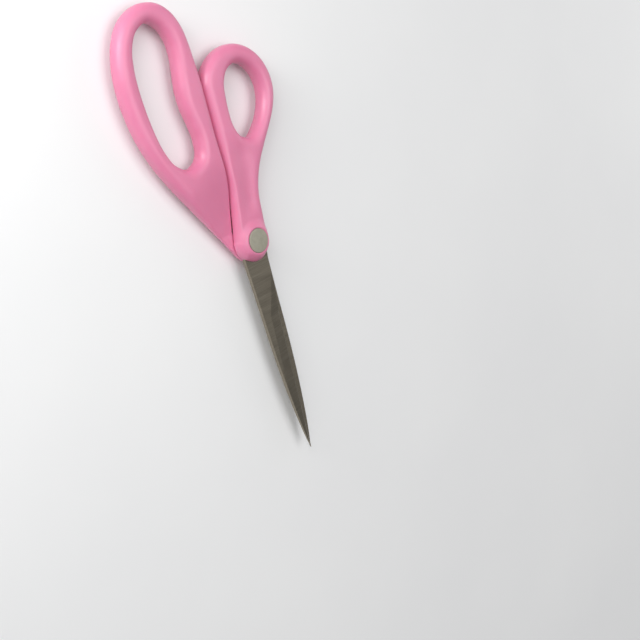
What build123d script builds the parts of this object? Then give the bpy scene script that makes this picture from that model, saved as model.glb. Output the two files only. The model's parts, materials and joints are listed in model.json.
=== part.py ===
from build123d import *
import math
import os

# Office scissors, closed, lying flat.
# Row frame: the pivot axis is Z; blades point to +X, handles to -X; the long
# finger loop is on -Y and the small thumb loop on +Y. z = 0 is the flat outer
# face of the rear pivot cap, which is what the pair rests on.

# ------------------------------------------------------------------ sizes, mm
Z_MID = 6.1            # height of the plane where the two blades rub
BLADE_T = 1.8          # blade thickness
RUB_GAP = 0.02         # each blade's inner face stands this far from Z_MID
LAYER_GAP = 0.15       # each plastic layer's inner face stands this far from Z_MID
HANDLE_HALF = 4.2      # half thickness of the handles
FINGER_ROUND = 3.2     # edge rounding of the finger handle
THUMB_ROUND = 2.8      # edge rounding of the thumb handle
BOSS_R = 9.4           # rounded end of both handles, around the pivot
BOSS_TOP = 5.65        # boss height from Z_MID
WINDOW_R = 5.2         # window in each boss
SHANK_R = 2.5          # pivot screw shank
THUMB_HOLE_R = 2.53    # running hole in the thumb blade
THREAD_R = 2.0         # thread of the pivot screw, inside the nut
HEAD_R = 4.5           # screw head and nut radius
HEAD_LOW, HEAD_TOP = 2.45, 4.3
NUT_TOP = 4.0
CAP_R = 5.15           # pivot caps
CAP_IN, CAP_OUT = 4.6, 6.1
SKIRT_IN_R, SKIRT_LOW = 4.65, 3.2
DOME_R = 45.0          # slight dome of the front cap
DOME_HALF = math.degrees(math.asin((CAP_R - 0.42) / DOME_R))
DOME_DROP = DOME_R - math.sqrt(DOME_R ** 2 - (CAP_R - 0.42) ** 2)
TIP_X = 98.0           # blade tip
SEAM_TOP = (-66.0, -2.70)       # the seam between the handles runs straight from here
SEAM_BOTTOM = (-27.0, -4.05)    # to here, and then curves round the boss
SEAM_GAP = 0.12        # each handle stands this far from the seam

# ------------------------------------------------------------- plan outlines
# finger loop, from the seam round the loop to the straight lower flank
FINGER_LOOP = [
    (-66.0, -2.70 - SEAM_GAP), (-72.0, -2.75), (-78.0, -3.0), (-85.0, -3.3), (-92.1, -4.4),
    (-98.6, -7.4), (-103.3, -12.6), (-105.0, -19.4), (-103.8, -26.4), (-99.7, -32.8),
    (-92.8, -37.6), (-84.5, -40.5), (-75.8, -41.7), (-65.5, -41.4), (-55.2, -39.7),
    (-45.4, -36.5), (-36.0, -32.1), (-26.9, -27.0),
]
# the straight flank meets the boss circle at a tangent
FLANK_ANGLE = math.degrees(math.atan2(-27.0, -26.9) + math.acos(BOSS_R / math.hypot(26.9, 27.0)))
FLANK = (BOSS_R * math.cos(math.radians(FLANK_ANGLE)), BOSS_R * math.sin(math.radians(FLANK_ANGLE)))
FINGER_HOLE = [
    (-97.4, -20.6), (-95.0, -26.6), (-89.2, -30.6), (-82.7, -32.3), (-75.9, -33.0),
    (-69.1, -33.0), (-62.3, -32.6), (-55.6, -31.8), (-48.8, -30.2), (-42.3, -27.0),
    (-38.4, -21.0), (-40.9, -14.7), (-47.5, -12.8), (-54.5, -13.5), (-61.2, -14.6),
    (-67.9, -14.6), (-74.6, -13.5), (-81.2, -12.3), (-88.0, -12.3), (-94.0, -15.0),
]
# thumb loop, from the seam round the loop to the boss
THUMB_LOOP = [
    (-66.0, -2.70 + SEAM_GAP), (-71.0, -0.9), (-75.1, 3.1), (-78.0, 7.8), (-79.3, 12.8),
    (-79.2, 18.0), (-77.7, 22.8), (-74.9, 27.1), (-71.0, 30.6), (-66.4, 32.9),
    (-61.3, 34.0), (-56.1, 33.8), (-51.2, 32.2), (-46.7, 29.7), (-42.5, 26.5),
    (-38.6, 23.2), (-34.6, 19.8), (-30.6, 16.6), (-26.2, 13.8), (-21.5, 11.6),
    (-16.5, 10.2), (-11.4, 9.7), (-6.2, 9.45), (0.0, BOSS_R),
]
THUMB_HOLE = [
    (-71.3, 16.6), (-69.4, 11.6), (-64.9, 8.5), (-59.2, 7.4), (-53.5, 6.9), (-47.8, 7.2),
    (-42.8, 9.6), (-40.8, 13.9), (-44.1, 19.3), (-48.6, 23.4), (-54.0, 26.1), (-59.3, 26.9),
    (-64.8, 25.5), (-69.2, 22.0),
]
# curved seams near the pivot: in front the thumb handle owns the boss, behind
# the finger handle does
SEAM_DIR = (SEAM_BOTTOM[0] - SEAM_TOP[0], SEAM_BOTTOM[1] - SEAM_TOP[1])
FRONT_SEAM_MID = (-16.5, -5.65)
REAR_SEAM_START = (-40.0, SEAM_TOP[1] + (26.0 / 39.0) * (SEAM_BOTTOM[1] - SEAM_TOP[1]))
REAR_SEAM_MID = (-18.0, 1.9)
SEAM_ANGLE = 105.0                # where the seams meet the boss circle, from +X
SEAM_END = (BOSS_R * math.cos(math.radians(SEAM_ANGLE)), BOSS_R * math.sin(math.radians(SEAM_ANGLE)))

# blades: outer ends of the shared blade outline and the two tangs
ROOT_Y = 6.9           # spine, beside the pivot
SPINE = [(10.0, -6.85), (20.0, -6.45), (45.0, -5.7), (70.0, -4.1), (88.0, -1.95)]
TIP = (TIP_X, 0.0)
EDGE_HEEL = (21.0, 4.75)
HEEL = [(11.0, 5.15), (5.0, 6.1)]
THUMB_TANG = [(0.0, 6.9), (-10.0, 6.9), (-20.0, 7.1), (-33.0, 8.2), (-33.0, 2.2), (-20.0, -0.9), (-8.0, -4.8)]
FINGER_TANG = [(0.0, -6.9), (-4.4, -7.1), (-8.0, -8.5), (-14.0, -12.4), (-31.0, -19.8), (-31.0, -11.8), (-12.0, -1.6), (-5.0, 4.6)]
THUMB_TANG_HOLE = (-25.5, 4.0)
FINGER_TANG_HOLE = (-24.0, -12.6)
TANG_HOLE_R = 1.75


# ------------------------------------------------------------------- blades
def wedge_section(y_edge, direction):
    # cross section of the metal ground away along the cutting edge
    return [
        (y_edge + direction * 0.6, 0.30),
        (y_edge - direction * 0.15, 0.38),
        (y_edge - direction * 0.75, 0.78),
        (y_edge - direction * 6.2, BLADE_T + 0.02),
        (y_edge + direction * 0.6, BLADE_T + 1.2),
    ]


EDGE_SLOPE = (TIP[1] - EDGE_HEEL[1]) / (TIP[0] - EDGE_HEEL[0])

with BuildSketch() as thumb_plan:
    with BuildLine():
        Spline((0, -ROOT_Y), *SPINE, TIP, tangents=[(1, 0), (1, 0.26)])
        Polyline(TIP, EDGE_HEEL, *HEEL, *THUMB_TANG, (0, -ROOT_Y))
    make_face()
    fillet(thumb_plan.vertices().filter_by(lambda v: v.X < -5), 1.2)
    with Locations(THUMB_TANG_HOLE):
        Circle(TANG_HOLE_R, mode=Mode.SUBTRACT)

with BuildSketch() as finger_plan:
    with BuildLine():
        Polyline((0, ROOT_Y), *FINGER_TANG[::-1], *[(x, -y) for x, y in HEEL[::-1]], (EDGE_HEEL[0], -EDGE_HEEL[1]), (TIP[0], -TIP[1]))
        Spline((TIP[0], -TIP[1]), *[(x, -y) for x, y in SPINE[::-1]], (0, ROOT_Y), tangents=[(-1, 0.26), (-1, 0)])
    make_face()
    fillet(finger_plan.vertices().filter_by(lambda v: v.X < -4), 1.2)
    with Locations(FINGER_TANG_HOLE):
        Circle(TANG_HOLE_R, mode=Mode.SUBTRACT)

with BuildPart() as thumb_blade:
    with BuildSketch(Plane.XY.offset(Z_MID + RUB_GAP)):
        add(thumb_plan.sketch)
        Circle(THUMB_HOLE_R, mode=Mode.SUBTRACT)
    extrude(amount=BLADE_T - RUB_GAP)
    # flat-ground bevel on the outer face, running out slantwise at the heel
    with BuildSketch(Plane(origin=(EDGE_HEEL[0] - 5, 0, Z_MID), x_dir=(0, 1, 0), z_dir=(1, 0, 0))):
        with BuildLine():
            Polyline(*wedge_section(EDGE_HEEL[1] - EDGE_SLOPE * 5 + 5.9, 1), close=True)
        make_face()
    with BuildSketch(Plane(origin=(EDGE_HEEL[0] + 13, 0, Z_MID), x_dir=(0, 1, 0), z_dir=(1, 0, 0))):
        with BuildLine():
            Polyline(*wedge_section(EDGE_HEEL[1] + EDGE_SLOPE * 13, 1), close=True)
        make_face()
    with BuildSketch(Plane(origin=(TIP_X + 4.0, 0, Z_MID), x_dir=(0, 1, 0), z_dir=(1, 0, 0))):
        with BuildLine():
            Polyline(*wedge_section(TIP[1] + EDGE_SLOPE * 4, 1), close=True)
        make_face()
    loft(mode=Mode.SUBTRACT, ruled=True)

with BuildPart() as finger_blade:
    with BuildSketch(Plane.XY.offset(Z_MID - BLADE_T)):
        add(finger_plan.sketch)
        Circle(SHANK_R, mode=Mode.SUBTRACT)
    extrude(amount=BLADE_T - RUB_GAP)
    with BuildSketch(Plane(origin=(EDGE_HEEL[0] - 5, 0, Z_MID), x_dir=(0, 1, 0), z_dir=(1, 0, 0))):
        with BuildLine():
            Polyline(*[(y, -z) for y, z in wedge_section(-EDGE_HEEL[1] + EDGE_SLOPE * 5 - 5.9, -1)], close=True)
        make_face()
    with BuildSketch(Plane(origin=(EDGE_HEEL[0] + 13, 0, Z_MID), x_dir=(0, 1, 0), z_dir=(1, 0, 0))):
        with BuildLine():
            Polyline(*[(y, -z) for y, z in wedge_section(-EDGE_HEEL[1] - EDGE_SLOPE * 13, -1)], close=True)
        make_face()
    with BuildSketch(Plane(origin=(TIP_X + 4.0, 0, Z_MID), x_dir=(0, 1, 0), z_dir=(1, 0, 0))):
        with BuildLine():
            Polyline(*[(y, -z) for y, z in wedge_section(-TIP[1] - EDGE_SLOPE * 4, -1)], close=True)
        make_face()
    loft(mode=Mode.SUBTRACT, ruled=True)

# ------------------------------------------------------------ thumb handle
with BuildPart() as thumb_handle:
    with BuildSketch(Plane.XY.offset(Z_MID - HANDLE_HALF)):
        with BuildLine():
            Line(THUMB_LOOP[0], (SEAM_BOTTOM[0], SEAM_BOTTOM[1] + SEAM_GAP))
            Spline((SEAM_BOTTOM[0], SEAM_BOTTOM[1] + SEAM_GAP), (FRONT_SEAM_MID[0], FRONT_SEAM_MID[1] + SEAM_GAP),
                   (SEAM_END[0], -SEAM_END[1]),
                   tangents=[SEAM_DIR, (math.sin(math.radians(SEAM_ANGLE)), math.cos(math.radians(SEAM_ANGLE)))])
            CenterArc((0, 0), BOSS_R, -SEAM_ANGLE, 90 + SEAM_ANGLE)
            Spline(*THUMB_LOOP[::-1], tangents=[(-1, 0), SEAM_DIR])
        make_face()
        with BuildLine():
            Spline(*THUMB_HOLE, periodic=True)
        make_face(mode=Mode.SUBTRACT)
    extrude(amount=2 * HANDLE_HALF)
    fillet(thumb_handle.edges().group_by(Axis.Z)[0] + thumb_handle.edges().group_by(Axis.Z)[-1], THUMB_ROUND)
    # boss dome around the pivot, in front
    with BuildSketch(Plane.XZ):
        with BuildLine():
            Polyline((5.75, Z_MID + BOSS_TOP - 0.1), (5.6, Z_MID + BOSS_TOP), (0, Z_MID + BOSS_TOP),
                     (0, Z_MID + 0.5), (8.8, Z_MID + 0.5), (8.8, Z_MID + 1.0))
            ThreePointArc((8.8, Z_MID + 1.0), (7.6, Z_MID + 3.75), (5.75, Z_MID + BOSS_TOP - 0.1))
        make_face()
    revolve(axis=Axis.Z)
    # behind the blade plane this handle gives way to the finger handle
    with BuildSketch(Plane.XY.offset(Z_MID - HANDLE_HALF - 1)):
        with BuildLine():
            Spline((REAR_SEAM_START[0], REAR_SEAM_START[1] + SEAM_GAP), (REAR_SEAM_MID[0], REAR_SEAM_MID[1] + 2 * SEAM_GAP),
                   (SEAM_END[0], SEAM_END[1] + 2 * SEAM_GAP),
                   tangents=[SEAM_DIR, (math.sin(math.radians(SEAM_ANGLE)), -math.cos(math.radians(SEAM_ANGLE)))])
            Polyline((SEAM_END[0], SEAM_END[1] + 2 * SEAM_GAP), (30, 30), (30, -30), (REAR_SEAM_START[0], -30),
                     (REAR_SEAM_START[0], REAR_SEAM_START[1] + SEAM_GAP))
        make_face()
        # room for the spine of the opening finger blade
        with Locations((12, 15)):
            Rectangle(38, 30)
    extrude(amount=HANDLE_HALF + 1 + LAYER_GAP, mode=Mode.SUBTRACT)
    # the rear layer thins out towards the pivot
    with BuildSketch(Plane.XZ):
        Polygon((-27.0, Z_MID - HANDLE_HALF - 0.01), (-5.0, Z_MID - 1.4), (12.0, Z_MID - 1.4),
                (12.0, Z_MID - 8), (-27.0, Z_MID - 8), align=None)
    extrude(amount=40, both=True, mode=Mode.SUBTRACT)
    # window for the pivot
    with BuildSketch(Plane.XY):
        Circle(WINDOW_R)
    extrude(amount=20, mode=Mode.SUBTRACT)
    # the space of the blade and its tang
    with BuildSketch(Plane.XY.offset(Z_MID + RUB_GAP)):
        add(thumb_plan.sketch)
    extrude(amount=BLADE_T - RUB_GAP, mode=Mode.SUBTRACT)

# ----------------------------------------------------------- finger handle
with BuildPart() as finger_handle:
    with BuildSketch(Plane.XY.offset(Z_MID - HANDLE_HALF)):
        with BuildLine():
            Spline(*FINGER_LOOP, tangents=[(-SEAM_DIR[0], -SEAM_DIR[1]), (FLANK[0] + 26.9, FLANK[1] + 27.0)])
            Line(FINGER_LOOP[-1], FLANK)
            CenterArc((0, 0), BOSS_R, FLANK_ANGLE, SEAM_ANGLE - FLANK_ANGLE)
            Spline(SEAM_END, REAR_SEAM_MID, (REAR_SEAM_START[0], REAR_SEAM_START[1] - SEAM_GAP),
                   tangents=[(-math.sin(math.radians(SEAM_ANGLE)), math.cos(math.radians(SEAM_ANGLE))), (-SEAM_DIR[0], -SEAM_DIR[1])])
            Line((REAR_SEAM_START[0], REAR_SEAM_START[1] - SEAM_GAP), FINGER_LOOP[0])
        make_face()
        with BuildLine():
            Spline(*FINGER_HOLE, periodic=True)
        make_face(mode=Mode.SUBTRACT)
    extrude(amount=2 * HANDLE_HALF)
    fillet(finger_handle.edges().group_by(Axis.Z)[0] + finger_handle.edges().group_by(Axis.Z)[-1], FINGER_ROUND)
    # boss dome around the pivot, behind
    with BuildSketch(Plane.XZ):
        with BuildLine():
            Polyline((5.9, Z_MID - BOSS_TOP + 0.1), (5.7, Z_MID - BOSS_TOP), (0, Z_MID - BOSS_TOP),
                     (0, Z_MID - 0.5), (9.2, Z_MID - 0.5), (9.2, Z_MID - 1.0))
            ThreePointArc((9.2, Z_MID - 1.0), (7.9, Z_MID - 3.95), (5.9, Z_MID - BOSS_TOP + 0.1))
        make_face()
    revolve(axis=Axis.Z)
    # in front of the blade plane this handle gives way to the thumb handle
    with BuildSketch(Plane.XY.offset(Z_MID - LAYER_GAP)):
        with BuildLine():
            Line((SEAM_TOP[0] + 8, SEAM_TOP[1] + 8 * SEAM_DIR[1] / SEAM_DIR[0] - SEAM_GAP), (SEAM_BOTTOM[0], SEAM_BOTTOM[1] - SEAM_GAP))
            Spline((SEAM_BOTTOM[0], SEAM_BOTTOM[1] - SEAM_GAP), (FRONT_SEAM_MID[0], FRONT_SEAM_MID[1] - SEAM_GAP),
                   (SEAM_END[0], -SEAM_END[1] - 2 * SEAM_GAP),
                   tangents=[SEAM_DIR, (math.sin(math.radians(SEAM_ANGLE)), math.cos(math.radians(SEAM_ANGLE)))])
            Polyline((SEAM_END[0], -SEAM_END[1] - 2 * SEAM_GAP), (30, -30), (30, 30), (SEAM_TOP[0] + 8, 30),
                     (SEAM_TOP[0] + 8, SEAM_TOP[1] + 8 * SEAM_DIR[1] / SEAM_DIR[0] - SEAM_GAP))
        make_face()
        # room for the spine of the opening thumb blade
        with Locations((12, -15)):
            Rectangle(35, 30)
    extrude(amount=HANDLE_HALF + 2, mode=Mode.SUBTRACT)
    # the front of the web slopes down towards the pivot
    with BuildSketch(Plane.XZ):
        Polygon((-31.0, Z_MID + HANDLE_HALF + 0.01), (-12.0, Z_MID + 1.3), (-5.5, Z_MID + 0.3), (12.0, Z_MID + 0.3),
                (12.0, Z_MID + 8), (-31.0, Z_MID + 8), align=None)
    extrude(amount=60, both=True, mode=Mode.SUBTRACT)
    with BuildSketch(Plane.XY.offset(-1)):
        Circle(WINDOW_R)
    extrude(amount=20, mode=Mode.SUBTRACT)
    with BuildSketch(Plane.XY.offset(Z_MID - BLADE_T)):
        add(finger_plan.sketch)
    extrude(amount=BLADE_T - RUB_GAP, mode=Mode.SUBTRACT)

# ------------------------------------------------------------ pivot hardware
with BuildPart() as pivot_screw:
    with BuildSketch(Plane.XZ):
        Polygon((0, Z_MID - NUT_TOP), (THREAD_R - 0.3, Z_MID - NUT_TOP), (THREAD_R, Z_MID - NUT_TOP + 0.3),
                (THREAD_R, Z_MID - BLADE_T), (SHANK_R, Z_MID - BLADE_T), (SHANK_R, Z_MID + HEAD_LOW),
                (HEAD_R, Z_MID + HEAD_LOW), (HEAD_R, Z_MID + HEAD_TOP - 0.5), (HEAD_R - 0.5, Z_MID + HEAD_TOP),
                (0, Z_MID + HEAD_TOP), align=None)
    revolve(axis=Axis.Z)
    # driver slot across the head
    with BuildSketch(Plane.XY.offset(Z_MID + HEAD_TOP - 0.9)):
        Rectangle(12, 1.1)
    extrude(amount=2, mode=Mode.SUBTRACT)

with BuildPart() as pivot_nut:
    with BuildSketch(Plane.XY.offset(Z_MID - NUT_TOP)):
        Circle(HEAD_R)
        Circle(THREAD_R, mode=Mode.SUBTRACT)
    extrude(amount=NUT_TOP - BLADE_T)
    chamfer(pivot_nut.edges().group_by(Axis.Z)[0].sort_by(SortBy.LENGTH)[-1], 0.4)
    # two spanner slots
    with BuildSketch(Plane.XY.offset(Z_MID - NUT_TOP)):
        with Locations((3.9, 0), (-3.9, 0)):
            Rectangle(1.8, 1.2)
    extrude(amount=1.0, mode=Mode.SUBTRACT)

with BuildPart() as spring_washer:
    with BuildSketch(Plane.XZ):
        Polygon((2.6, Z_MID + 2.03), (4.7, Z_MID + 1.82), (4.7, Z_MID + 2.22), (2.6, Z_MID + 2.43), align=None)
    revolve(axis=Axis.Z)

# ------------------------------------------------------------- pivot caps
with BuildPart() as thumb_pivot_cap:
    with BuildSketch(Plane.XZ):
        with BuildLine():
            Polyline((0, Z_MID + CAP_IN), (SKIRT_IN_R, Z_MID + CAP_IN), (SKIRT_IN_R, Z_MID + SKIRT_LOW),
                     (CAP_R - 0.15, Z_MID + SKIRT_LOW), (CAP_R, Z_MID + SKIRT_LOW + 0.3), (CAP_R, Z_MID + CAP_OUT - 0.65))
            ThreePointArc((CAP_R, Z_MID + CAP_OUT - 0.65), (CAP_R - 0.13, Z_MID + CAP_OUT - 0.37),
                          (CAP_R - 0.42, Z_MID + CAP_OUT - DOME_DROP))
            CenterArc((0, Z_MID + CAP_OUT - DOME_R), DOME_R, 90 - DOME_HALF, DOME_HALF)
            Line((0, Z_MID + CAP_OUT), (0, Z_MID + CAP_IN))
        make_face()
    revolve(axis=Axis.Z)

with BuildPart() as finger_pivot_cap:
    with BuildSketch(Plane.XZ):
        with BuildLine():
            Polyline((0, Z_MID - CAP_IN), (SKIRT_IN_R, Z_MID - CAP_IN), (SKIRT_IN_R, Z_MID - SKIRT_LOW),
                     (CAP_R - 0.15, Z_MID - SKIRT_LOW), (CAP_R, Z_MID - SKIRT_LOW - 0.3), (CAP_R, Z_MID - CAP_OUT + 0.35))
            ThreePointArc((CAP_R, Z_MID - CAP_OUT + 0.35), (CAP_R - 0.1, Z_MID - CAP_OUT + 0.1),
                          (CAP_R - 0.35, Z_MID - CAP_OUT))
            Polyline((CAP_R - 0.35, Z_MID - CAP_OUT), (0, Z_MID - CAP_OUT), (0, Z_MID - CAP_IN))
        make_face()
    revolve(axis=Axis.Z)

# ------------------------------------------------------------------ export
thumb_blade.part.label = "thumb_blade"
finger_blade.part.label = "finger_blade"
thumb_handle.part.label = "thumb_handle"
finger_handle.part.label = "finger_handle"
pivot_screw.part.label = "pivot_screw"
pivot_nut.part.label = "pivot_nut"
spring_washer.part.label = "spring_washer"
thumb_pivot_cap.part.label = "thumb_pivot_cap"
finger_pivot_cap.part.label = "finger_pivot_cap"

os.makedirs("parts", exist_ok=True)
export_step(thumb_blade.part, "parts/thumb_blade.step")
export_step(finger_blade.part, "parts/finger_blade.step")
export_step(thumb_handle.part, "parts/thumb_handle.step")
export_step(finger_handle.part, "parts/finger_handle.step")
export_step(pivot_screw.part, "parts/pivot_screw.step")
export_step(pivot_nut.part, "parts/pivot_nut.step")
export_step(spring_washer.part, "parts/spring_washer.step")
export_step(thumb_pivot_cap.part, "parts/thumb_pivot_cap.step")
export_step(finger_pivot_cap.part, "parts/finger_pivot_cap.step")

for piece in (thumb_blade, finger_blade, thumb_handle, finger_handle, pivot_screw, pivot_nut,
              spring_washer, thumb_pivot_cap, finger_pivot_cap):
    box = piece.part.bounding_box()
    print(piece.part.label, len(piece.part.solids()), round(piece.part.volume, 1), piece.part.is_valid,
          [round(v, 2) for v in (*box.min, *box.max)])
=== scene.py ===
import json
import math

import bpy
import numpy as np
from mathutils import Matrix, Vector

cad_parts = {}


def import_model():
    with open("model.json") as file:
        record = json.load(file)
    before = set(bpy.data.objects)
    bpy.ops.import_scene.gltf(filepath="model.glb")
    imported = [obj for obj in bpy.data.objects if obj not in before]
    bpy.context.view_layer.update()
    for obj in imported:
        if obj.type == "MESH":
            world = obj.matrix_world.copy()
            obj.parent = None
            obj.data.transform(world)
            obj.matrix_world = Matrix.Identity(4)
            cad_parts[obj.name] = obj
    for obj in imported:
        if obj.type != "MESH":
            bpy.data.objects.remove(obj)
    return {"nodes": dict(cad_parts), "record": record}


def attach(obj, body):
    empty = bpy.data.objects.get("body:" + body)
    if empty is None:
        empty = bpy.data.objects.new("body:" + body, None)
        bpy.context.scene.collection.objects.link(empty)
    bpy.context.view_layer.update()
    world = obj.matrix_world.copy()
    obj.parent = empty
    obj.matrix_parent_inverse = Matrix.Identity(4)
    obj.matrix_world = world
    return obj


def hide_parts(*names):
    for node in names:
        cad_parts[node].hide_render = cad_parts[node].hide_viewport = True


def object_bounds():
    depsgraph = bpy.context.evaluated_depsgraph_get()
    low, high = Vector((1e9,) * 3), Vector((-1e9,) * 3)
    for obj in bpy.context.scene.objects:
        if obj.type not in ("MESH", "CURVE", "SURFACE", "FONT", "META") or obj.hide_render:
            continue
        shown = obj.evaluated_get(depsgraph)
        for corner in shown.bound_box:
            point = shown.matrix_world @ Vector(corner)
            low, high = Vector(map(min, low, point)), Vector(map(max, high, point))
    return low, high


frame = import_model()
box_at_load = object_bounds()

# ----------------------------------------------------------------- sizes, mm
Z_MID = 6.1
SEAM_TOP = (-66.0, -2.70)
SEAM_BOTTOM = (-27.0, -4.05)
SEAM_GAP = 0.12
LAYER_GAP = 0.15
BOSS_R = 9.4
BOSS_SIDE = 8.7
WINDOW_R = 5.2
SUPER = 2.35          # roundness of the limbs' cross section
SPACING = 0.4         # voxel size of the moulded handles

FINGER_LOOP = [
    (-66.0, -2.70 - SEAM_GAP), (-72.0, -2.75), (-78.0, -3.0), (-85.0, -3.3), (-92.1, -4.4),
    (-98.6, -7.4), (-103.3, -12.6), (-105.0, -19.4), (-103.8, -26.4), (-99.7, -32.8),
    (-92.8, -37.6), (-84.5, -40.5), (-75.8, -41.7), (-65.5, -41.4), (-55.2, -39.7),
    (-45.4, -36.5), (-36.0, -32.1), (-26.9, -27.0),
]
FINGER_HOLE = [
    (-97.4, -20.6), (-95.0, -26.6), (-89.2, -30.6), (-82.7, -32.3), (-75.9, -33.0),
    (-69.1, -33.0), (-62.3, -32.6), (-55.6, -31.8), (-48.8, -30.2), (-42.3, -27.0),
    (-38.4, -21.0), (-40.9, -14.7), (-47.5, -12.8), (-54.5, -13.5), (-61.2, -14.6),
    (-67.9, -14.6), (-74.6, -13.5), (-81.2, -12.3), (-88.0, -12.3), (-94.0, -15.0),
]
THUMB_LOOP = [
    (-66.0, -2.70 + SEAM_GAP), (-71.0, -0.9), (-75.1, 3.1), (-78.0, 7.8), (-79.3, 12.8),
    (-79.2, 18.0), (-77.7, 22.8), (-74.9, 27.1), (-71.0, 30.6), (-66.4, 32.9),
    (-61.3, 34.0), (-56.1, 33.8), (-51.2, 32.2), (-46.7, 29.7), (-42.5, 26.5),
    (-38.6, 23.2), (-34.6, 19.8), (-30.6, 16.6), (-26.2, 13.8), (-21.5, 11.6),
    (-16.5, 10.1), (-11.4, 9.4), (-6.2, 9.0), (0.0, BOSS_SIDE), (4.2, 7.8), (7.5, 5.1), (9.15, 2.0),
]
THUMB_HOLE = [
    (-71.3, 16.6), (-69.4, 11.6), (-64.9, 8.5), (-59.2, 7.4), (-53.5, 6.9), (-47.8, 7.2),
    (-42.8, 9.6), (-40.8, 13.9), (-44.1, 19.3), (-48.6, 23.4), (-54.0, 26.1), (-59.3, 26.9),
    (-64.8, 25.5), (-69.2, 22.0),
]
SEAM_DIR = (SEAM_BOTTOM[0] - SEAM_TOP[0], SEAM_BOTTOM[1] - SEAM_TOP[1])
REAR_SEAM_START = (-40.0, SEAM_TOP[1] + (26.0 / 39.0) * (SEAM_BOTTOM[1] - SEAM_TOP[1]))
SEAM_ANGLE = math.radians(105.0)
SEAM_END = (BOSS_R * math.cos(SEAM_ANGLE), BOSS_R * math.sin(SEAM_ANGLE))
THUMB_ROOT = [(14.0, -6.9), (14.0, 5.2), (11.0, 5.3), (5.0, 6.2), (0.0, 7.0), (-10.0, 7.0), (-20.0, 7.2), (-27.0, 7.7), (-27.0, 0.8),
              (-20.0, -0.9), (-8.0, -4.8), (-1.0, -6.9)]
FINGER_ROOT = [(14.0, 6.9), (14.0, -5.2), (11.0, -5.3), (5.0, -6.2), (0.0, -7.0), (-4.4, -7.1), (-8.0, -8.5), (-14.0, -12.4), (-20.0, -15.2),
               (-20.0, -5.9), (-12.0, -1.6), (-5.0, 4.6), (-1.0, 6.9)]


# ------------------------------------------------------------- plan curves
def hermite(points, tangents, n=10):
    """Smooth curve through points, with a tangent at each, as a dense polyline."""
    out = []
    for i in range(len(points) - 1):
        a, b = np.array(points[i], float), np.array(points[i + 1], float)
        d = np.linalg.norm(b - a)
        ta, tb = np.array(tangents[i]) * d, np.array(tangents[i + 1]) * d
        t = np.linspace(0, 1, n, endpoint=False)[:, None]
        out.append((2 * t**3 - 3 * t**2 + 1) * a + (t**3 - 2 * t**2 + t) * ta + (3 * t**2 - 2 * t**3) * b + (t**3 - t**2) * tb)
    out.append(np.array(points[-1], float)[None])
    return np.vstack(out)


def smooth_curve(points, start=None, end=None, closed=False, n=10):
    """Interpolating curve with chord-scaled tangents."""
    p = np.array(points, float)
    m = len(p)
    tang = []
    for i in range(m):
        if closed or 0 < i < m - 1:
            a, b, c = p[(i - 1) % m], p[i], p[(i + 1) % m]
            la, lb = np.linalg.norm(b - a), np.linalg.norm(c - b)
            t = ((b - a) / la * lb + (c - b) / lb * la) / (la + lb)
        elif i == 0:
            t = np.array(start, float) / np.linalg.norm(start)
        else:
            t = np.array(end, float) / np.linalg.norm(end)
        tang.append(t)
    if closed:
        return hermite(list(p) + [p[0]], tang + [tang[0]], n)[:-1]
    return hermite(list(p), tang, n)


def arc(a0, a1, radius=BOSS_R, n=48):
    a = np.radians(np.linspace(a0, a1, n))
    return np.c_[radius * np.cos(a), radius * np.sin(a)]


def chaikin(points, times=3):
    p = np.array(points, float)
    for _ in range(times):
        q = np.roll(p, -1, axis=0)
        p = np.vstack([(0.75 * p + 0.25 * q)[None], (0.25 * p + 0.75 * q)[None]]).transpose(1, 0, 2).reshape(-1, 2)
    return p


# the seam in front, and the one behind, from the V between the loops to the boss
front_seam = np.vstack([[SEAM_TOP], smooth_curve([SEAM_BOTTOM, (-16.5, -5.65), (SEAM_END[0], -SEAM_END[1])],
                        start=SEAM_DIR, end=(math.sin(SEAM_ANGLE), math.cos(SEAM_ANGLE)), n=24)])
rear_seam = np.vstack([[SEAM_TOP], smooth_curve([REAR_SEAM_START, (-27.0, -1.6), (-18.0, 1.9), (SEAM_END[0], SEAM_END[1])],
                       start=SEAM_DIR, end=(math.sin(SEAM_ANGLE), -math.cos(SEAM_ANGLE)), n=24)])


def shifted(curve, by):
    """The curve moved by that much along its left-hand normal."""
    t = np.gradient(curve, axis=0)
    t /= np.linalg.norm(t, axis=1)[:, None]
    return curve + by * np.c_[-t[:, 1], t[:, 0]]


thumb_loop = smooth_curve(THUMB_LOOP, start=(-SEAM_DIR[0], -SEAM_DIR[1]), end=(0.2, -1))
finger_hole = smooth_curve(FINGER_HOLE, closed=True)
thumb_hole = smooth_curve(THUMB_HOLE, closed=True)
flank_angle = math.degrees(math.atan2(-27.0, -26.9) + math.acos(BOSS_R / math.hypot(26.9, 27.0)))
flank = np.array([BOSS_R * math.cos(math.radians(flank_angle)), BOSS_R * math.sin(math.radians(flank_angle))])
finger_loop = smooth_curve(FINGER_LOOP, start=(-SEAM_DIR[0], -SEAM_DIR[1]), end=flank - np.array(FINGER_LOOP[-1]))



def before(curve, x):
    """The stretch of a curve on the handle side of that x."""
    return curve[curve[:, 0] < x]


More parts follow.
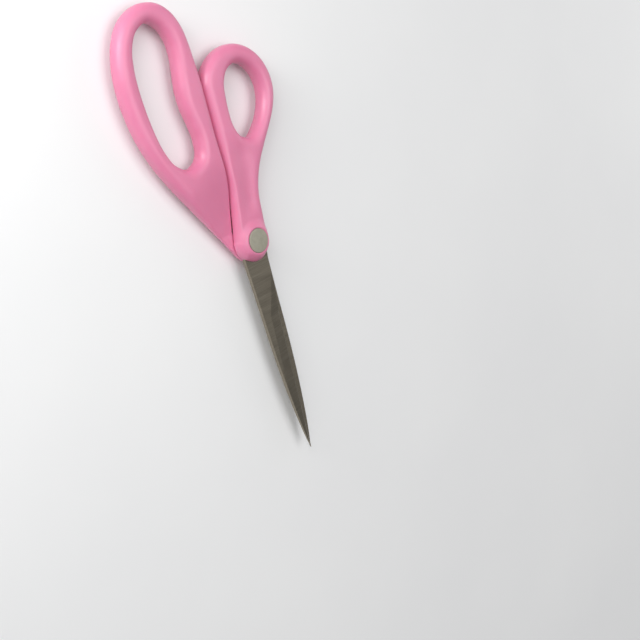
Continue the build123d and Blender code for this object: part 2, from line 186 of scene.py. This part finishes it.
flank_line = np.linspace(finger_loop[-1], flank, 60)[1:]
plans = {
    # thumb handle in front: loop, right side, boss, and back up the front seam
    "thumb_front": np.vstack([thumb_loop, arc(11.0, -105), shifted(front_seam, SEAM_GAP)[::-1]]),
    # thumb handle behind: ends short of the pivot
    "thumb_rear": np.vstack([before(thumb_loop, -7.6), before(shifted(rear_seam, SEAM_GAP)[::-1], -7.6)]),
    "finger_front": np.vstack([finger_loop, before(flank_line, -5.8), before(shifted(front_seam, -SEAM_GAP)[::-1], -5.8)]),
    "finger_rear": np.vstack([finger_loop, arc(flank_angle, 105), shifted(rear_seam, -SEAM_GAP)[::-1]]),
    "finger_hole": finger_hole,
    "thumb_hole": thumb_hole,
    "thumb_root": chaikin(THUMB_ROOT, 2),
    "finger_root": chaikin(FINGER_ROOT, 2),
    "seam_line": np.vstack([front_seam, [[40, -14], [40, 60], [-120, 60], [-120, SEAM_TOP[1]]]]),
}

# ------------------------------------------------ signed distances in plan
GX0, GX1, GY0, GY1, GS = -108.0, 12.0, -45.0, 37.0, 0.25
gx = np.arange(GX0, GX1 + GS / 2, GS)
gy = np.arange(GY0, GY1 + GS / 2, GS)


def signed_distance(poly):
    """Distance to a closed outline on the plan grid, negative inside."""
    px, py = np.meshgrid(gx, gy, indexing="ij")
    best = np.full(px.shape, 1e9)
    inside = np.zeros(px.shape, bool)
    q = np.roll(poly, -1, axis=0)
    for (ax, ay), (bx, by) in zip(poly, q):
        ex, ey = bx - ax, by - ay
        ll = ex * ex + ey * ey
        if ll < 1e-12:
            continue
        t = np.clip(((px - ax) * ex + (py - ay) * ey) / ll, 0, 1)
        d = (px - ax - t * ex) ** 2 + (py - ay - t * ey) ** 2
        np.minimum(best, d, out=best)
        cross = (ay > py) != (by > py)
        if ay != by:
            inside ^= cross & (px < (bx - ax) * (py - ay) / (by - ay) + ax)
    return np.where(inside, -1.0, 1.0) * np.sqrt(best)


plan = {k: signed_distance(v) for k, v in plans.items()}


def at(name, x, y):
    """The plan distance at points, between grid values."""
    f = plan[name]
    u = np.clip((x - GX0) / GS, 0, f.shape[0] - 1.001)
    v = np.clip((y - GY0) / GS, 0, f.shape[1] - 1.001)
    i, j = u.astype(int), v.astype(int)
    u, v = u - i, v - j
    return (f[i, j] * (1 - u) + f[i + 1, j] * u) * (1 - v) + (f[i, j + 1] * (1 - u) + f[i + 1, j + 1] * u) * v


def step(a, b, x):
    t = np.clip((x - a) / (b - a), 0, 1)
    return t * t * (3 - 2 * t)


def soft_max(a, b, k):
    h = np.clip(0.5 + 0.5 * (a - b) / k, 0, 1)
    return b * (1 - h) + a * h + k * h * (1 - h)


def bump(x, y, cx, cy, rx, ry):
    return np.exp(-(((x - cx) / rx) ** 2 + ((y - cy) / ry) ** 2))


def shell(edge, edge_r, hole, hole_r, z, top, power=SUPER):
    """Rounded slab: below zero inside. edge and hole are plan distances, negative in the material."""
    u = np.clip((edge + edge_r) / edge_r, 0, None)
    h = np.clip((hole + hole_r) / hole_r, 0, None)
    w = np.clip(z / top, 0, None)
    return ((u**power + h**power + w**power) ** (1 / power) - 1) * 4.0


def thumb_field(x, y, z):
    r = np.hypot(x, y)
    hole = -at("thumb_hole", x, y)
    seam = np.abs(at("seam_line", x, y))
    near_seam = step(-50, -28, x) * (1 - step(3.0, 6.0, seam))
    # front
    top = 4.25 + 1.4 * (1 - step(5.3, 9.2, r))
    axis_y = np.interp(x, [-40, -30, -20, -10, 0], [6.5, 5.8, 3.6, 1.6, 0.0])
    dish = np.exp(-(((y - axis_y) / 4.2) ** 2)) * step(-44, -34, x) * (1 - step(-17, -9, x))
    top = top - 0.75 * dish
    edge_r = 4.3 - 1.9 * near_seam
    front = shell(at("thumb_front", x, y), edge_r, hole, 4.3, z, top, SUPER - 0.3 * (1 - step(8.0, 14.0, r)))
    front = soft_max(front, LAYER_GAP - z, 0.25)
    # rear
    low = 4.25 - 2.9 * step(-34, -8, x)
    rear = shell(at("thumb_rear", x, y), 4.3 - 2.2 * step(-42, -30, x), hole, 4.3, -z, low)
    rear = soft_max(rear, z - 1.0, 0.1)
    f = np.minimum(front, rear)
    f = soft_max(f, WINDOW_R - r, 0.3)
    pocket = np.maximum(at("thumb_root", x, y) - 0.03, np.maximum(z - 1.83, -z))
    return soft_max(f, -pocket, 0.08)


def finger_field(x, y, z):
    r = np.hypot(x, y)
    hole = -at("finger_hole", x, y)
    seam = np.abs(at("seam_line", x, y))
    near_seam = step(-50, -28, x) * (1 - step(3.0, 6.0, seam))
    # front: the web slopes down towards the pivot
    top = 0.35 + 3.95 * step(8.5, 40, r)
    edge_r = 4.4 - 3.0 * near_seam
    front = shell(at("finger_front", x, y), edge_r, hole, 4.4, z, top)
    front = soft_max(front, z + LAYER_GAP - 0.2 * np.clip(-6.2 - x, 0, None), 0.3)
    front = soft_max(front, -1.0 - z, 0.1)
    # rear: full depth, with the boss
    low = 4.25 + 1.4 * (1 - step(5.6, 12.0, r))
    axis_y = np.interp(x, [-34, -26, -16, -8, 0], [-17.5, -13.5, -7.5, -3.0, 0.0])
    dish = np.exp(-(((y - axis_y) / 5.0) ** 2)) * step(-38, -29, x) * (1 - step(-17, -9, x))
    low = low - 0.6 * dish
    rear_seam_side = step(-46, -32, x) * (1 - step(2.0, 7.0, np.abs(y - np.interp(x, rear_seam[:, 0], rear_seam[:, 1]))))
    rear = shell(at("finger_rear", x, y), 4.4 - 1.6 * rear_seam_side, hole, 4.4, -z, low)
    rear = soft_max(rear, z + LAYER_GAP, 0.25)
    f = np.minimum(front, rear)
    f = soft_max(f, WINDOW_R - r, 0.3)
    # where the web is thin the tang is moulded straight in
    pocket = np.maximum(at("finger_root", x, y) - 0.03, np.maximum(-z - 1.83, z))
    pocket = np.maximum(pocket, np.minimum(-5.9 - x, 17.0 - r))
    return soft_max(f, -pocket, 0.08)


# ------------------------------------------------------- mesh from a field
def net(field, lo, hi, s):
    """Surface-nets mesh of the field's zero surface: vertices in mm, quads."""
    ax = [np.arange(lo[i], hi[i] + s, s) for i in range(3)]
    shape = tuple(len(a) for a in ax)
    g = np.empty(shape, np.float32)
    px, py = np.meshgrid(ax[0], ax[1], indexing="ij")
    for k, zz in enumerate(ax[2]):
        g[:, :, k] = field(px, py, np.full(px.shape, zz))
    neg = g < 0
    nx, ny, nz = (n - 1 for n in shape)
    corner = [(i, j, k) for i in (0, 1) for j in (0, 1) for k in (0, 1)]
    count = sum(neg[i:i + nx, j:j + ny, k:k + nz].astype(np.int8) for i, j, k in corner)
    active = (count > 0) & (count < 8)
    cell = np.argwhere(active)
    index = np.full((nx, ny, nz), -1, np.int64)
    index[active] = np.arange(len(cell))
    total, hits = np.zeros((len(cell), 3)), np.zeros(len(cell))
    for a in corner:
        for axis in range(3):
            if a[axis]:
                continue
            b = list(a)
            b[axis] = 1
            va = g[cell[:, 0] + a[0], cell[:, 1] + a[1], cell[:, 2] + a[2]]
            vb = g[cell[:, 0] + b[0], cell[:, 1] + b[1], cell[:, 2] + b[2]]
            m = (va < 0) != (vb < 0)
            t = np.where(m, va / np.where(m, va - vb, 1), 0)
            p = np.array(a, float)[None].repeat(len(cell), 0)
            p[:, axis] = t
            total[m] += p[m]
            hits[m] += 1
    verts = (cell + total / hits[:, None]) * s + np.array(lo)
    quads = []
    for axis in range(3):
        o1, o2 = [i for i in range(3) if i != axis]
        sl_a = [slice(1, None)] * 3
        sl_a[axis] = slice(0, -1)
        sl_b = list(sl_a)
        sl_b[axis] = slice(1, None)
        a_in, b_in = neg[tuple(sl_a)], neg[tuple(sl_b)]
        where = np.argwhere(a_in != b_in)
        flip = a_in[tuple(where.T)]
        base = where.copy()
        base[:, o1] += 1
        base[:, o2] += 1
        ok = (base[:, 0] < nx + (axis != 0) * 0) & (base[:, o1] < shape[o1] - 1) & (base[:, o2] < shape[o2] - 1)
        base, flip = base[ok], flip[ok]
        idx = []
        for d1, d2 in ((-1, -1), (0, -1), (0, 0), (-1, 0)):
            c = base.copy()
            c[:, o1] += d1
            c[:, o2] += d2
            idx.append(index[c[:, 0], c[:, 1], c[:, 2]])
        q = np.stack(idx, 1)
        if axis == 1:
            flip = ~flip
        q[~flip] = q[~flip][:, ::-1]
        quads.append(q)
    quads = np.vstack(quads)
    quads = quads[(quads >= 0).all(1)]
    return verts, quads


def settle(field, v, times=3, limit=0.2):
    """Moves vertices onto the exact surface."""
    e = 0.05
    for _ in range(times):
        x, y, z = v.T
        f = field(x, y, z)
        g = np.stack([field(x + e, y, z) - field(x - e, y, z), field(x, y + e, z) - field(x, y - e, z),
                      field(x, y, z + e) - field(x, y, z - e)], 1) / (2 * e)
        n2 = (g**2).sum(1)
        move = -(f / np.maximum(n2, 1e-3))[:, None] * g
        length = np.linalg.norm(move, axis=1)
        move *= np.minimum(1, limit / np.maximum(length, 1e-9))[:, None]
        v = v + move
    return v


def relax(v, quads, times=2, amount=0.5):
    """Evens out the vertices, sliding them towards their neighbours' mean."""
    edges = np.vstack([quads[:, [0, 1]], quads[:, [1, 2]], quads[:, [2, 3]], quads[:, [3, 0]]])
    for _ in range(times):
        total, n = np.zeros_like(v), np.zeros(len(v))
        for a, b in ((0, 1), (1, 0)):
            for axis in range(3):
                total[:, axis] += np.bincount(edges[:, a], weights=v[edges[:, b], axis], minlength=len(v))
            n += np.bincount(edges[:, a], minlength=len(v))
        v = v + amount * (total / n[:, None] - v)
    return v


def moulded(name, field, lo, hi):
    v, q = net(field, lo, hi, SPACING)
    v = relax(v, q, 2, 0.5)
    v = settle(field, v, 3)
    v = relax(v, q, 1, 0.35)
    v = settle(field, v, 1, 0.1)
    mesh = bpy.data.meshes.new(name)
    out = v.copy()
    out[:, 2] += Z_MID
    low, high = (1000 * np.array(list(corner)) for corner in box_at_load)
    out = np.clip(out, low, high)
    mesh.from_pydata((out / 1000).tolist(), [], q.tolist())
    mesh.validate()
    mesh.update()
    mesh.shade_smooth()
    ob = bpy.data.objects.new(name, mesh)
    bpy.context.scene.collection.objects.link(ob)
    return ob


thumb_grip = moulded("thumb_grip", thumb_field, (-81.1, -11.1, -5.1), (11.1, 36.1, 6.9))
finger_grip = moulded("finger_grip", finger_field, (-107.1, -43.7, -6.9), (11.1, 11.1, 5.3))
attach(thumb_grip, "thumb_half")
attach(finger_grip, "finger_half")
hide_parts("thumb_handle")
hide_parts("finger_handle")


# --------------------------------------------------------------- materials
class Nodes:
    """Short names for building a node tree."""

    def __init__(self, name):
        self.material = bpy.data.materials.new(name)
        self.material.use_nodes = True
        self.tree = self.material.node_tree
        self.tree.nodes.clear()
        self.out = self.tree.nodes.new("ShaderNodeOutputMaterial")
        self.bsdf = self.tree.nodes.new("ShaderNodeBsdfPrincipled")
        self.link(self.bsdf.outputs[0], self.out.inputs[0])
        self.coord = self.tree.nodes.new("ShaderNodeTexCoord")

    def link(self, a, b):
        self.tree.links.new(a, b)

    def node(self, kind, **settings):
        n = self.tree.nodes.new(kind)
        for k, v in settings.items():
            setattr(n, k, v)
        return n

    def mapped(self, scale, rotation=(0, 0, 0), location=(0, 0, 0)):
        m = self.node("ShaderNodeMapping")
        m.inputs["Scale"].default_value = scale
        m.inputs["Rotation"].default_value = rotation
        m.inputs["Location"].default_value = location
        self.link(self.coord.outputs["Object"], m.inputs[0])
        return m.outputs[0]

    def noise(self, vector, scale, detail=3.0, rough=0.5, distortion=0.0):
        n = self.node("ShaderNodeTexNoise")
        n.inputs["Scale"].default_value = scale
        n.inputs["Detail"].default_value = detail
        n.inputs["Roughness"].default_value = rough
        n.inputs["Distortion"].default_value = distortion
        self.link(vector, n.inputs["Vector"])
        return n.outputs["Fac"]

    def ramp(self, fac, stops):
        r = self.node("ShaderNodeValToRGB")
        el = r.color_ramp.elements
        while len(el) < len(stops):
            el.new(0.5)
        for e, (p, c) in zip(el, stops):
            e.position = p
            e.color = (*c, 1) if len(c) == 3 else c
        self.link(fac, r.inputs[0])
        return r.outputs[0]

    def remap(self, fac, a, b, c, d):
        n = self.node("ShaderNodeMapRange")
        for i, v in enumerate((a, b, c, d)):
            n.inputs[i + 1].default_value = v
        self.link(fac, n.inputs[0])
        return n.outputs[0]

    def math(self, op, a, b=None, clamp=False):
        n = self.node("ShaderNodeMath", operation=op, use_clamp=clamp)
        for i, v in enumerate((a, b)):
            if v is None:
                continue
            if isinstance(v, (int, float)):
                n.inputs[i].default_value = v
            else:
                self.link(v, n.inputs[i])
        return n.outputs[0]

    def mix(self, fac, a, b):
        n = self.node("ShaderNodeMix", data_type="RGBA")
        for socket, v in ((n.inputs[0], fac), (n.inputs[6], a), (n.inputs[7], b)):
            if isinstance(v, tuple):
                socket.default_value = (*v, 1)
            elif isinstance(v, (int, float)):
                socket.default_value = v
            else:
                self.link(v, socket)
        return n.outputs[2]

    def bump(self, height, strength, distance, normal=None):
        n = self.node("ShaderNodeBump")
        n.inputs["Strength"].default_value = strength
        n.inputs["Distance"].default_value = distance
        self.link(height, n.inputs["Height"])
        if normal is not None:
            self.link(normal, n.inputs["Normal"])
        return n.outputs[0]


def handle_plastic():
    m = Nodes("handle_plastic")
    b = m.bsdf
    cloud = m.noise(m.mapped((1, 1, 1)), 38.0, 3.0, 0.55)
    flow = m.noise(m.mapped((0.5, 1.6, 1.6), rotation=(0, 0, 0.2)), 60.0, 2.0, 0.5, 1.2)
    base = m.mix(m.remap(cloud, 0.3, 0.7, 0, 1), (0.735, 0.206, 0.360), (0.775, 0.233, 0.393))
    base = m.mix(m.remap(flow, 0.45, 0.75, 0, 0.35), base, (0.80, 0.252, 0.414))
    m.link(base, b.inputs["Base Color"])
    fine = m.noise(m.mapped((1, 1, 1)), 2600.0, 2.0, 0.6)
    pebble = m.noise(m.mapped((1, 1, 1)), 900.0, 3.0, 0.6)
    scratch = m.noise(m.mapped((30, 700, 700), rotation=(0, 0, 0.5)), 1.0, 2.0, 0.5, 0.4)
    rough = m.remap(m.noise(m.mapped((1, 1, 1)), 120.0, 4.0, 0.6), 0.3, 0.7, 0.38, 0.46)
    rough = m.math("ADD", rough, m.remap(scratch, 0.62, 0.72, 0, 0.08))
    m.link(rough, b.inputs["Roughness"])
    height = m.math("ADD", m.math("MULTIPLY", fine, 0.5), pebble)
    m.link(m.bump(height, 0.20, 0.00003), b.inputs["Normal"])
    b.inputs["Subsurface Weight"].default_value = 0.22
    b.inputs["Subsurface Radius"].default_value = (1.0, 0.35, 0.45)
    b.inputs["Subsurface Scale"].default_value = 0.0022
    b.inputs["IOR"].default_value = 1.49
    b.inputs["Specular IOR Level"].default_value = 0.9
    return m.material


def blade_steel():
    m = Nodes("blade_steel")
    b = m.bsdf
    b.inputs["Metallic"].default_value = 1.0
    # grinding lines run across the flats; the bevels are ground along a slant
    flat = m.noise(m.mapped((5200, 60, 60)), 1.0, 4.0, 0.65, 0.2)
    broad = m.noise(m.mapped((900, 30, 30)), 1.0, 2.0, 0.5, 0.3)
    slant = m.noise(m.mapped((4200, 90, 90), rotation=(0, 0, 0.6)), 1.0, 4.0, 0.65, 0.1)
    sep = m.node("ShaderNodeSeparateXYZ")
    m.link(m.coord.outputs["Normal"], sep.inputs[0])
    tilt = m.math("SUBTRACT", 1.0, m.math("ABSOLUTE", sep.outputs[2]))
    bevel = m.remap(tilt, 0.004, 0.012, 0, 1)
    lines = m.node("ShaderNodeMix", data_type="FLOAT")
    m.link(bevel, lines.inputs[0]); m.link(flat, lines.inputs[2]); m.link(slant, lines.inputs[3])
    lines = lines.outputs[0]
    cloud = m.noise(m.mapped((1, 1, 1)), 90.0, 3.0, 0.6)
    colour = m.mix(m.remap(lines, 0.3, 0.7, 0, 1), (0.24, 0.210, 0.162), (0.35, 0.312, 0.248))
    colour = m.mix(m.remap(cloud, 0.5, 0.8, 0, 0.25), colour, (0.21, 0.180, 0.135))
    m.link(colour, b.inputs["Base Color"])
    rough = m.math("ADD", m.remap(lines, 0.3, 0.7, 0.27, 0.40), m.remap(broad, 0.4, 0.7, 0.0, 0.06))
    m.link(rough, b.inputs["Roughness"])
    m.link(m.bump(lines, 0.25, 0.00002), b.inputs["Normal"])
    return m.material


def pivot_steel():
    m = Nodes("pivot_steel")
    b = m.bsdf
    b.inputs["Metallic"].default_value = 1.0
    sep = m.node("ShaderNodeSeparateXYZ")
    m.link(m.coord.outputs["Object"], sep.inputs[0])
    radius = m.math("SQRT", m.math("ADD", m.math("MULTIPLY", sep.outputs[0], sep.outputs[0]), m.math("MULTIPLY", sep.outputs[1], sep.outputs[1])))
    rings = m.node("ShaderNodeTexNoise", noise_dimensions="1D")
    m.link(m.math("MULTIPLY", radius, 9000.0), rings.inputs["W"])
    rings.inputs["Scale"].default_value = 1.0
    turned = rings.outputs["Fac"]
    grime = m.noise(m.mapped((1, 1, 1)), 400.0, 4.0, 0.6)
    m.link(m.mix(m.remap(grime, 0.4, 0.7, 0, 0.6), (0.60, 0.60, 0.60), (0.42, 0.41, 0.40)), b.inputs["Base Color"])
    m.link(m.remap(turned, 0.3, 0.7, 0.25, 0.42), b.inputs["Roughness"])
    m.link(m.bump(turned, 0.3, 0.00002), b.inputs["Normal"])
    return m.material


def cap_grey():
    m = Nodes("cap_grey")
    b = m.bsdf
    cloud = m.noise(m.mapped((1, 1, 1)), 420.0, 4.0, 0.6)
    fine = m.noise(m.mapped((1, 1, 1)), 3600.0, 2.0, 0.6)
    m.link(m.mix(m.remap(cloud, 0.3, 0.7, 0, 1), (0.30, 0.285, 0.225), (0.36, 0.34, 0.27)), b.inputs["Base Color"])
    m.link(m.remap(cloud, 0.3, 0.7, 0.42, 0.54), b.inputs["Roughness"])
    m.link(m.bump(fine, 0.25, 0.00003), b.inputs["Normal"])
    b.inputs["Subsurface Weight"].default_value = 0.05
    b.inputs["Subsurface Radius"].default_value = (1.0, 1.0, 0.9)
    b.inputs["Subsurface Scale"].default_value = 0.0008
    return m.material


made = {"handle_plastic": handle_plastic(), "blade_steel": blade_steel(), "pivot_steel": pivot_steel(), "cap_grey": cap_grey()}


def dress(ob, material):
    ob.data.materials.clear()
    ob.data.materials.append(material)


dress(thumb_grip, made["handle_plastic"])
dress(finger_grip, made["handle_plastic"])
for part in frame["record"]["subparts"]:
    dress(frame["nodes"][part["node"]], made[part["material_slot"]])

# ------------------------------------------------------------ floor, light
def floor():
    m = Nodes("floor")
    n = m.noise(m.mapped((1, 1, 1)), 9.0, 4.0, 0.5)
    m.link(m.mix(m.remap(n, 0.3, 0.7, 0, 1), (0.88, 0.88, 0.88), (0.91, 0.91, 0.905)), m.bsdf.inputs["Base Color"])
    m.bsdf.inputs["Roughness"].default_value = 0.9
    m.bsdf.inputs["Specular IOR Level"].default_value = 0.15
    mesh = bpy.data.meshes.new("floor")
    r = 3.0
    mesh.from_pydata([(-r, -r, 0), (r, -r, 0), (r, r, 0), (-r, r, 0)], [], [(0, 1, 2, 3)])
    ob = bpy.data.objects.new("floor", mesh)
    ob.location = (0, 0, -0.00005)
    ob.data.materials.append(m.material)
    bpy.context.scene.collection.objects.link(ob)
    return ob


floor()

CAM_RIGHT = Vector((0.258001, 0.668626, 0.697406))
CAM_UP = Vector((-0.915010, 0.400824, -0.045781))
CAM_BACK = Vector((-0.310147, -0.626322, 0.715213))
CAM_POS = Vector((-0.123733, -0.320662, 0.401489))

camera = bpy.data.objects.new("camera", bpy.data.cameras.new("camera"))
camera.data.sensor_width = 36.0
camera.data.sensor_fit = "HORIZONTAL"
camera.data.lens = 36.0 * 1242.0 / 640.0
camera.data.clip_start = 0.01
camera.data.dof.use_dof = False
camera.matrix_world = Matrix(((CAM_RIGHT.x, CAM_UP.x, CAM_BACK.x, CAM_POS.x), (CAM_RIGHT.y, CAM_UP.y, CAM_BACK.y, CAM_POS.y),
                              (CAM_RIGHT.z, CAM_UP.z, CAM_BACK.z, CAM_POS.z), (0, 0, 0, 1)))
bpy.context.scene.collection.objects.link(camera)
bpy.context.scene.camera = camera

FINGER_LOOP_CENTRE = Vector((-0.075, -0.023, 0.008))
HUB = Vector((-0.045, -0.012, 0.010))
PIVOT = Vector((0.0, 0.0, 0.010))


def from_view(right, up, back):
    """A place given along the viewing directions, in metres."""
    return CAM_RIGHT * right + CAM_UP * up + CAM_BACK * back


def area(name, target, offset, size, radiance, colour=(1, 1, 1)):
    """A round soft light of that brightness, aimed at the target."""
    light = bpy.data.lights.new(name, "AREA")
    light.shape = "DISK"
    light.size = size
    light.energy = radiance * math.pi * math.pi * (size / 2) ** 2
    light.color = colour
    ob = bpy.data.objects.new(name, light)
    ob.location = target + offset
    ob.rotation_euler = (target - ob.location).to_track_quat("-Z", "Y").to_euler()
    bpy.context.scene.collection.objects.link(ob)


area("low_key", FINGER_LOOP_CENTRE, Vector((-0.255, -0.352, 0.120)), 0.20, 9.5)
area("key", FINGER_LOOP_CENTRE, Vector((-0.195, -0.218, 0.255)), 0.21, 5.6)
area("top", HUB, Vector((-0.13, 0.13, 2.34)), 1.95, 2.4)
area("rim", HUB, Vector((0.02, 0.60, 0.22)), 0.40, 1.1)

# a soft surround, brighter above and on the handles' side than towards the blades
world = bpy.data.worlds.new("world")
world.use_nodes = True
tree = world.node_tree
where = tree.nodes.new("ShaderNodeTexCoord")
along = tree.nodes.new("ShaderNodeVectorMath")
along.operation = "DOT_PRODUCT"
along.inputs[1].default_value = (-0.55, -0.30, 0.78)
grade = tree.nodes.new("ShaderNodeMapRange")
grade.interpolation_type = "SMOOTHSTEP"
for socket, value in zip(list(grade.inputs)[1:5], (-0.8, 0.9, 0.12, 0.34)):
    socket.default_value = value
tree.links.new(where.outputs["Generated"], along.inputs[0])
tree.links.new(along.outputs["Value"], grade.inputs[0])
tree.links.new(grade.outputs[0], tree.nodes["Background"].inputs[1])
tree.nodes["Background"].inputs[0].default_value = (0.97, 0.98, 1.0, 1)
bpy.context.scene.world = world
bpy.context.scene.view_settings.view_transform = "Standard"
